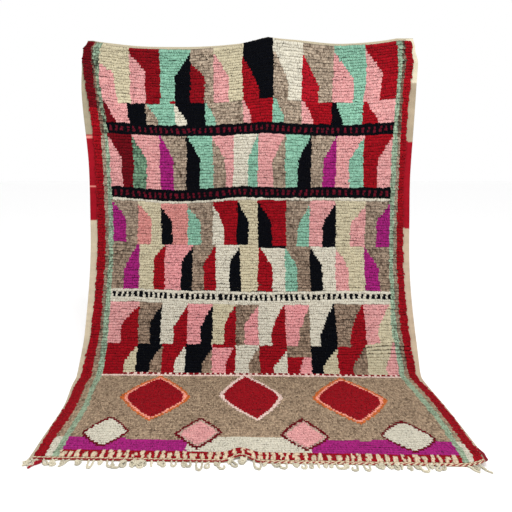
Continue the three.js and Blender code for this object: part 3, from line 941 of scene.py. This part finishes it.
# The side edges' yarns: side, from, to, colour
LEFT, RIGHT = -1, 1
EDGE_RED = (140, 14, 28)
SELVEDGE_YARNS = [
    (LEFT, 0.000, 0.452, (147, 138, 116)),
    (LEFT, 0.452, 0.870, EDGE_RED),
    (LEFT, 0.870, 2.400, (176, 163, 140)),
    (RIGHT, 0.000, 0.210, (196, 188, 164)),
    (RIGHT, 0.210, 0.480, (154, 140, 118)),
    (RIGHT, 0.480, 0.900, EDGE_RED),
    (RIGHT, 0.900, 2.400, (172, 154, 132)),
]
CORDS = 3
EDGE_WEFTS, EDGE_WEFT_HEIGHT = 400, 0.0005
EDGE_BACK_HEIGHT = 0.0012
EDGE_LAP = 0.001

# Pale wefts that float over the left edge's red, and the right edge's dark line where it curls
FLOATS, FLOAT_HALF, FLOAT_PINK = [0.462, 0.468, 0.704, 0.712], 0.002, (206, 128, 118)
CURL_LINE, CURL_RED = (0.790, 2.290), (120, 14, 30)

# How thick a cord or roll is between two ridges and how much more it is on one, and the steps from ridge
# to ridge
RIDGE_LOW, RIDGE_MORE = 0.66, 0.34
RIDGE_STEPS = 4


def selvedge_piece(name, side):
    """A flat-woven side edge: wefts wound over a few thick warp cords."""
    inner, outer = side * (RIM - EDGE_LAP), side * HALF
    across = np.linspace(min(inner, outer), max(inner, outer), CORDS * RIDGE_STEPS + 1)
    down = np.linspace(0.0, LENGTH, EDGE_WEFTS + 1)

    def cord_shape(u):
        return np.abs(np.sin(np.pi * CORDS * (np.abs(u) - RIM) / SELVEDGE))

    def front_height(u, s):
        weft = np.where(np.round(s / LENGTH * EDGE_WEFTS) % 2 == 0, 0.0, EDGE_WEFT_HEIGHT)
        return FLAT_THICK * (RIDGE_LOW + RIDGE_MORE * cord_shape(u)) + weft

    def back_height(u, s):
        return EDGE_BACK_HEIGHT * (1 - cord_shape(u))

    def colour(u, s):
        found = np.zeros((len(u), 3))
        edge = np.clip(s + uneven("selvedge joint", u, 0 * s), 0, LENGTH - 1e-6)
        for where, a, b, rgb in SELVEDGE_YARNS:
            if where == side:
                found = np.where(within(edge, a, b)[..., None], linear(rgb), found)
        floating = (side == LEFT) & (np.min([np.abs(s - at) for at in FLOATS], axis=0) < FLOAT_HALF)
        found = np.where(floating[..., None], linear(FLOAT_PINK), found)
        curled = (u > CURL_LINE[0]) & (s > CURL_LINE[1])
        found = np.where(curled[..., None], linear(CURL_RED), found)
        light = 1 + uneven("selvedge shade", u, s) + uneven("selvedge tone", u, s)
        return np.clip(found * light[..., None], 0, 1)

    front = (across, down, front_height, colour)
    back = (across, down[::2], back_height, colour)
    return slab(name, front, back, weave_wool)


# The strips at the top and the hem: steps across, how high their backs are between two rolls, how light
# they are, and how much painted shade darkens them between two rolls
STRIP_STEPS, STRIP_BACK_HEIGHT = 160, 0.0008
STRIP_LIGHT, STRIP_ROLL_SHADE = 0.96, 0.12


def strip_piece(name, top, bottom, rolls, rgb):
    """A flat-woven strip across the rug, of a few thick wefts beside each other."""
    across = np.linspace(-RIM + EDGE_LAP, RIM - EDGE_LAP, STRIP_STEPS)
    down = np.linspace(top, bottom, rolls * RIDGE_STEPS + 1)

    def roll_shape(s):
        return np.abs(np.sin(np.pi * rolls * (s - top) / (bottom - top)))

    def front_height(u, s):
        return FLAT_THICK * (RIDGE_LOW + RIDGE_MORE * roll_shape(s)) + uneven("strip height", u, s)

    def back_height(u, s):
        return STRIP_BACK_HEIGHT * (1 - roll_shape(s))

    def colour(u, s):
        # Painted shade between two rolls, over the strip's random tone
        light = STRIP_LIGHT + uneven("strip shade", u, s) - STRIP_ROLL_SHADE * (1 - roll_shape(s))
        return np.clip(linear(rgb) * light[..., None], 0, 1)

    grid = (across, down)
    return slab(name, (*grid, front_height, colour), (*grid, back_height, colour), weave_wool)


# Tubes

def headings(line):
    """The way that a line goes at each of its points."""
    heading = np.gradient(line, axis=0)
    return heading / (np.linalg.norm(heading, axis=1)[:, None] + 1e-12)


def tube(centres, radii, sides):
    """Points and faces of a closed tube through centres, as rings of a few sides."""
    heading = headings(centres)
    side = np.cross(heading, np.array([0.0, 0.0, 1.0]))
    side[np.linalg.norm(side, axis=1) < 1e-4] = np.array([1.0, 0.0, 0.0])
    side /= np.linalg.norm(side, axis=1)[:, None]
    up = np.cross(side, heading)
    angle = np.arange(sides) * 2 * np.pi / sides
    ring = np.cos(angle)[None, :, None] * side[:, None] + np.sin(angle)[None, :, None] * up[:, None]
    points = centres[:, None] + ring * radii[:, None, None]
    verts = np.concatenate([points.reshape(-1, 3), centres[:1], centres[-1:]])
    count = len(centres) * sides
    around = np.arange(count).reshape(-1, sides)
    after = np.roll(around, -1, axis=1)
    quads = np.stack([around[:-1], after[:-1], after[1:], around[1:]], -1).reshape(-1, 4)
    start = np.stack([np.full(sides, count), after[0], around[0]], -1)
    end = np.stack([np.full(sides, count + 1), around[-1], after[-1]], -1)
    return verts, quads, np.concatenate([start, end])


# The share of a tube's map that each of its ends takes, and how much longer its part is than it is high
CAP_MAP = 0.03
MAP_LONG = 4


def map_of_tube(count, sides):
    """Places on the map for the corners of a tube's long faces and of its ends: along it and round it."""
    i, k = np.meshgrid(np.arange(count - 1), np.arange(sides), indexing="ij")
    a, b = [CAP_MAP + (1 - 2 * CAP_MAP) * n / (count - 1) for n in (i, i + 1)]
    low, high = k / sides, (k + 1) / sides
    quads = np.stack([a, low, a, high, b, high, b, low], -1).reshape(-1, 2)
    low, middle, high = [(np.arange(sides) + share) / sides for share in (0, 0.5, 1)]
    near, far = np.full(sides, CAP_MAP), np.full(sides, 1 - CAP_MAP)
    start = np.stack([0 * near, middle, near, high, near, low], -1).reshape(-1, 2)
    end = np.stack([1 + 0 * far, middle, far, low, far, high], -1).reshape(-1, 2)
    return quads, np.concatenate([start, end])


class Bundle:
    """Many tubes in one mesh, each with its own colours."""

    def __init__(self):
        self.verts, self.quads, self.triangles, self.colours, self.maps = [], [], [], [], []
        self.count = 0

    def add(self, centres, radii, sides, colours):
        """Colours are one for each centre."""
        verts, quads, triangles = tube(centres, radii, sides)
        self.verts.append(verts)
        self.quads.append(quads + self.count)
        self.triangles.append(triangles + self.count)
        self.colours.append(np.concatenate([np.repeat(colours, sides, axis=0), colours[:1], colours[-1:]]))
        self.maps.append(map_of_tube(len(centres), sides))
        self.count += len(verts)

    def piece(self, name, material):
        faces = [np.concatenate(self.quads), np.concatenate(self.triangles)]
        columns = max(1, round(math.sqrt(len(self.maps)) / MAP_LONG))
        rows = math.ceil(len(self.maps) / columns)
        uvs = []
        for part in (0, 1):
            for n, maps in enumerate(self.maps):
                inside = maps[part] * [1, 1 - 2 * MAP_MARGIN] + [0, MAP_MARGIN]
                uvs.append((inside + [n % columns, n // columns]) / [columns, rows])
        verts, colours = np.concatenate(self.verts), np.concatenate(self.colours)
        return new_piece(name, verts, faces, colours, material, np.concatenate(uvs))


# The lines twined along the hem: from the end, height, radius, length of a twist
CREAM_ROPE = (0.0085, 0.0068, 0.0028, 0.017)
RED_ROPE = (0.0022, 0.0048, 0.0032, 0.021)
ROPE_HALF, ROPE_STEP, ROPE_SIDES = 0.785, 0.0028, 4
ALL_RED_TO = 0.02

# A ply beside its rope: how far from the middle and how thick, in shares of the rope's radius. Then how far
# the twist and the line stray, and how the tone does, and over what lengths
PLY_APART, PLY_THICK = 0.5, 0.64
TWIST_STRAYS, LINE_STRAYS, STRAYS_OVER = 0.7, 0.0010, 0.05
ROPE_TONE, ROPE_TONE_OVER = 0.06, 0.012


def twined_rope(bundle, line, colours_of, seed):
    """Two plies twined along the hem."""
    from_end, height, radius, twist = line
    u = np.arange(-ROPE_HALF, ROPE_HALF, ROPE_STEP)
    for ply in (0, 1):
        angle = 2 * np.pi * u / twist + ply * np.pi + TWIST_STRAYS * noise(u / STRAYS_OVER, 0 * u, seed)
        s = LENGTH - from_end + PLY_APART * radius * np.cos(angle)
        s = s + LINE_STRAYS * noise(u / STRAYS_OVER, 0 * u, seed + 1)
        h = height + PLY_APART * radius * np.sin(angle)
        tone = 1 + ROPE_TONE * noise(u / ROPE_TONE_OVER, 0 * u + ply, seed + 2)
        radii = np.full(len(u), radius * PLY_THICK)
        bundle.add(place(u, s, h), radii, ROPE_SIDES, colours_of(u, ply) * tone[:, None])


def hem_ropes():
    """A cream line and a red line, the red twined with cream on the right. The cream line's second ply is
    painted in shade.
    """
    # The cream line's second ply is its cream painted darker: painted shade for the shadow lines between its
    # twists
    cream, cream_in_shade, red = linear((212, 194, 166)), linear((172, 140, 114)), linear((136, 18, 30))

    def pale(u, ply):
        return np.broadcast_to(cream_in_shade if ply else cream, (len(u), 3))

    def red_and_pale(u, ply):
        mixed = (ply == 1) & (u > ALL_RED_TO)
        return np.where(mixed[:, None], cream, red)

    bundle = Bundle()
    twined_rope(bundle, CREAM_ROPE, pale, 50)
    twined_rope(bundle, RED_ROPE, red_and_pale, 60)
    return bundle.piece("hem_ropes", warp_cotton)


# The fringe, one knotted warp end at each place where the solid has one: its gap to the hem, its right end,
# pitch, how far the places stray in shares of the pitch, lengths, and the largest turn aside in radians
FRINGE_GAP, FRINGE_TO, FRINGE_PITCH, FRINGE_STRAY = 0.0003, 0.700, 0.022, 0.4
FRINGE_SHORT, FRINGE_LONG, FRINGE_BEND = 0.034, 0.062, 0.75
HEM_COLUMNS, HEM_CORNER = 39, 0.006

# How a warp end lies, as places out from the hem and aside, in shares of its length
ENDS = {
    "tail": [(0, 0), (0.3, 0.05), (0.6, -0.06), (1.0, 0.04)],
    "drop": [(0, 0), (0.4, 0.16), (0.78, 0.15), (0.92, -0.02), (0.72, -0.17), (0.34, -0.08)],
    "hook": [(0, 0), (0.4, 0.10), (0.85, 0.12), (1.0, -0.12), (0.84, -0.34), (0.55, -0.30)],
    "knot": [(0, 0), (0.45, 0.20), (0.62, -0.04), (0.38, -0.20), (0.30, 0.06), (0.66, 0.14), (0.80, -0.10)],
}
END_TURN = [
    "drop", "knot", "hook", "drop", "tail", "knot", "drop",
    "loop", "drop", "knot", "hook", "loop", "knot",
]

# How far up into the hem an end starts, how much of its turn it takes, and how long the ends on the left
# and on the right are beside the solid's
END_ROOT, TURN_TAKEN = 0.002, 0.8
DRAWN_UP, DRAWN_UP_RIGHT = 0.84, 0.70

# A loop to the next end: the shares of its length where it turns, and how far it narrows there
LOOP_NECK, LOOP_REACH, LOOP_NARROW = 0.6, 1.05, 0.004

# Where the ends are knotted together in bunches: place across, reach. Then how far a bunch's second ends
# stray, how long they are beside the first, and how high they ride over them
BUNCHES = [(-0.415, 0.045), (-0.045, 0.050), (0.445, 0.030), (0.600, 0.034)]
BUNCH_ASIDE, BUNCH_OUT, BUNCH_LONG, BUNCH_OVER = 0.008, 0.004, 0.9, 0.007

# The ends' undyed and red cotton, and how light the undyed may be: single ends, bunches, corners
UNDYED, DYED_RED = (196, 188, 166), (140, 20, 34)
END_TONES, BUNCH_TONES, CORNER_TONES = (0.74, 1.04), (0.80, 1.02), (0.75, 1.0)

# Ends at the corners, beyond the even ones: place across, how far aside and out they start, length, turn to
# the right in radians, how they lie, and whether they are red. Then how high every second one rides
CORNER_ENDS = [
    (-0.798, 0.000, 0.000, 0.052, -0.10, "knot", False),
    (-0.790, 0.002, 0.002, 0.044, 0.35, "hook", False),
    (-0.785, 0.000, 0.000, 0.040, -0.45, "knot", False),
    (-0.770, 0.000, 0.000, 0.036, 0.10, "knot", False),
    (-0.796, 0.050, 0.012, 0.058, -0.72, "tail", True),
    (-0.796, 0.045, 0.009, 0.050, -0.66, "tail", True),
    (0.722, 0.000, 0.000, 0.046, 0.55, "tail", False),
    (0.742, 0.000, 0.000, 0.030, 0.30, "drop", False),
    (0.764, 0.000, 0.000, 0.050, 0.60, "tail", False),
]
CORNER_OVER = 0.003

# A cord of two plies: a ply's radius, turns of the twist, distance from the middle line, sides. Where its
# knot is and how far it reaches, in shares of the length, how much it spreads the plies and thickens them
PLY_RADIUS, CORD_TURNS, PLY_SPREAD, CORD_SIDES = 0.0022, 3.0, 0.0019, 5
CORD_KNOT, KNOT_REACH, KNOT_SPREAD, KNOT_THICK = 0.45, 0.16, 0.0010, 0.22

# How flat a cord lies and how far over the floor, the share of it that comes down from the hem, and how its
# tone changes round the twist: painted light where a ply rides high, painted shade where it runs under, and
# a finer ripple
CORD_FLAT, OVER_FLOOR, DOWN_BY = 0.8, 0.0002, 0.35
TWIST_PAINTED_LIGHT, FINE_TONE, FINE_TIMES = 0.10, 0.04, 7


def fringe_starts():
    """Where each strand leaves the hem, its length and its bend."""
    corner = RIM - HEM_CORNER
    inner = np.arange(1, HEM_COLUMNS + 1) * (2 * corner / (HEM_COLUMNS + 1)) - corner
    columns = np.concatenate([[-RIM, -corner], inner, [corner, RIM]])
    columns = columns[columns <= FRINGE_TO]
    count = int((columns[-1] - columns[0]) / FRINGE_PITCH) - 1
    n = np.arange(count)
    across = columns[0] + (n + 1 + (chance(n + 900) - 0.5) * FRINGE_STRAY) * FRINGE_PITCH
    x, y, z = [np.interp(across, columns, places) for places in place(columns, LENGTH, 0.0).T]
    length = FRINGE_SHORT + (FRINGE_LONG - FRINGE_SHORT) * chance(n)
    bend = (2 * chance(n + 400) - 1) * FRINGE_BEND
    return across, x, y - FRINGE_GAP, np.maximum(z - FLOOR_Z, 0), length, bend


def rounded(corners):
    """A soft line past corners, each cut off twice."""
    line = np.asarray(corners, float)
    for _ in range(2):
        a, b = line[:-1], line[1:]
        cut = np.stack([0.75 * a + 0.25 * b, 0.25 * a + 0.75 * b], 1).reshape(-1, 2)
        line = np.concatenate([line[:1], cut, line[-1:]])
    return line


def cord(bundle, line, lift, over, colour, turn):
    """Two plies twisted along a line on the floor, from the hem down to the floor."""
    t = np.linspace(0, 1, len(line))
    aside = headings(line)[:, ::-1] * [1, -1]
    knot = np.exp(-((t - CORD_KNOT) / KNOT_REACH) ** 2)
    spread = PLY_SPREAD + KNOT_SPREAD * knot
    radius = PLY_RADIUS * (1 + KNOT_THICK * knot)
    for ply in (0, 1):
        angle = 2 * np.pi * (t * CORD_TURNS + ply / 2) + turn
        flat = line + aside * (np.cos(angle) * spread)[:, None]
        height = FLOOR_Z + radius + spread * (1 + np.sin(angle)) * CORD_FLAT + OVER_FLOOR
        height = height + lift * smooth(1 - t / DOWN_BY) + over * np.sin(np.pi * t)
        # Painted light and shade: a ply is lighter where it rides high on the twist and darker where it runs
        # under
        tone = 1 + TWIST_PAINTED_LIGHT * np.sin(angle) + FINE_TONE * np.cos(FINE_TIMES * angle)
        centres = np.concatenate([flat, height[:, None]], 1)
        bundle.add(centres, radius, CORD_SIDES, colour * tone[:, None])


def ways(turned):
    """The way out from the hem and the way aside for an end that is turned to the right."""
    out = np.array([math.sin(turned), -math.cos(turned)])
    return out, np.array([-out[1], out[0]])


def fringe_piece():
    """The knotted warp ends along the hem, with loops and bunches among them, and those at its corners."""
    bundle = Bundle()
    rng = np.random.default_rng(7)
    across, xs, ys, lifts, lengths, bends = fringe_starts()
    lengths = lengths * np.where(across < 0, DRAWN_UP, DRAWN_UP_RIGHT)
    starts = np.stack([xs, ys + END_ROOT], -1)
    undyed, red = linear(UNDYED), linear(DYED_RED)
    looped = False
    for n, (start, length, lift) in enumerate(zip(starts, lengths, lifts)):
        if looped:
            looped = False
            continue
        colour = undyed * rng.uniform(*END_TONES)
        kind = END_TURN[n % len(END_TURN)]
        looped = kind == "loop" and n + 1 < len(starts)
        if looped:
            out, end = np.array([0, -length]), starts[n + 1]
            neck, reach, narrow = out * LOOP_NECK, out * LOOP_REACH, np.array([LOOP_NARROW, 0])
            corners = [start, start + neck, start + reach + narrow, end + reach - narrow, end + neck, end]
            cord(bundle, rounded(corners), lift, 0.0, colour, n)
            continue
        out, aside = ways(bends[n] * TURN_TAKEN)
        aside = aside * (1 if n % 2 else -1)
        shape = ENDS["drop" if kind == "loop" else kind]
        corners = [start + (out * a + aside * b) * length for a, b in shape]
        cord(bundle, rounded(corners), lift, 0.0, colour, n)
        for at, reach in BUNCHES:
            if abs(across[n] - at) < reach:
                stray = [rng.uniform(-BUNCH_ASIDE, BUNCH_ASIDE), rng.uniform(-BUNCH_OUT, BUNCH_OUT)]
                root, long = start + np.array(stray), length * BUNCH_LONG
                corners = [root + (out * a - aside * b) * long for a, b in ENDS["knot"]]
                cord(bundle, rounded(corners), lift, BUNCH_OVER, undyed * rng.uniform(*BUNCH_TONES), n + 2)
    for n, (u, aside_start, out_start, length, turned, kind, dyed) in enumerate(CORNER_ENDS):
        x, y, z = place(u, LENGTH, 0.0)
        start = np.array([x + aside_start, y - out_start])
        out, aside = ways(turned)
        corners = [start + (out * a + aside * b) * length for a, b in ENDS[kind]]
        lift = max(z - FLOOR_Z, 0.0) if out_start == 0 else 0.0
        colour = red if dyed else undyed * rng.uniform(*CORNER_TONES)
        cord(bundle, rounded(corners), lift, CORNER_OVER * (n % 2), colour, n)
    return bundle.piece("fringe_strands", warp_cotton)


# The scene

FLOOR_HALF = 12.0
PALE, MATT = linear((252, 252, 252)), 0.8


def floor():
    paint = bpy.data.materials.new("floor_paint")
    paint.use_nodes = True
    set_inputs(paint.node_tree.nodes["Principled BSDF"], Base_Color=(*PALE, 1), Roughness=MATT)
    mesh = bpy.data.meshes.new("floor")
    corners = [(x * FLOOR_HALF, y * FLOOR_HALF, FLOOR_Z) for x, y in ((-1, -1), (1, -1), (1, 1), (-1, 1))]
    mesh.from_pydata(corners, [], [(0, 1, 2, 3)])
    mesh.materials.append(paint)
    added("floor", mesh)


def area_light(name, spot, target, size, power):
    light = bpy.data.lights.new(name, "AREA")
    light.shape = "DISK"
    light.size = size
    light.energy = power
    lamp = added(name, light)
    lamp.location = spot
    away = np.asarray(target, float) - np.asarray(spot, float)
    pitch = math.atan2(math.hypot(away[0], away[1]), -away[2])
    lamp.rotation_euler = (pitch, 0, math.atan2(-away[0], away[1]))


def world(brightness):
    sky = bpy.data.worlds.new("studio")
    sky.use_nodes = True
    set_inputs(sky.node_tree.nodes["Background"], Color=(1, 1, 1, 1), Strength=brightness)
    bpy.context.scene.world = sky


# The photograph's camera: its place, its pitch below level, its focal length and the picture's shift,
# both in pixels of the 512 pixel frame
FRAME_PIXELS = 512
CAMERA_AT = (-0.0910, -2.9703, -0.4551)
CAMERA_PITCH = 11.364
FOCAL_PIXELS = 594.38
SHIFT_PIXELS = 25.09
SENSOR = 36.0


def camera():
    data = bpy.data.cameras.new("camera")
    data.sensor_width = SENSOR
    data.lens = FOCAL_PIXELS / FRAME_PIXELS * SENSOR
    data.shift_x = SHIFT_PIXELS / FRAME_PIXELS
    seen = added("camera", data)
    seen.location = CAMERA_AT
    seen.rotation_euler = (math.radians(90 - CAMERA_PITCH), 0, 0)
    bpy.context.scene.camera = seen


camera()
floor()
world(1.0)
area_light("key", (0.7, -3.3, 1.1), (0, -0.3, -0.4), 2.2, 30)
area_light("over", (0.2, -1.8, 1.7), (0, -0.2, -0.8), 1.6, 50)
bpy.context.scene.view_settings.view_transform = "Standard"

weave = weave_piece()
bounds_of_rows = np.linspace(0, knot_rows, PILE_PIECES + 1).round().astype(int)
pile = [pile_piece(n, a, b) for n, (a, b) in enumerate(zip(bounds_of_rows[:-1], bounds_of_rows[1:]))]
sides = [selvedge_piece("selvedge_left", LEFT), selvedge_piece("selvedge_right", RIGHT)]
ends = [
    strip_piece("top_strip", 0.0, TOP_STRIP, 3, (178, 168, 144)),
    strip_piece("hem_strip", LENGTH - HEM, LENGTH, 4, (176, 152, 124)),
]
ropes = hem_ropes()
fringe = fringe_piece()

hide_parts("rug")
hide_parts("fringe")
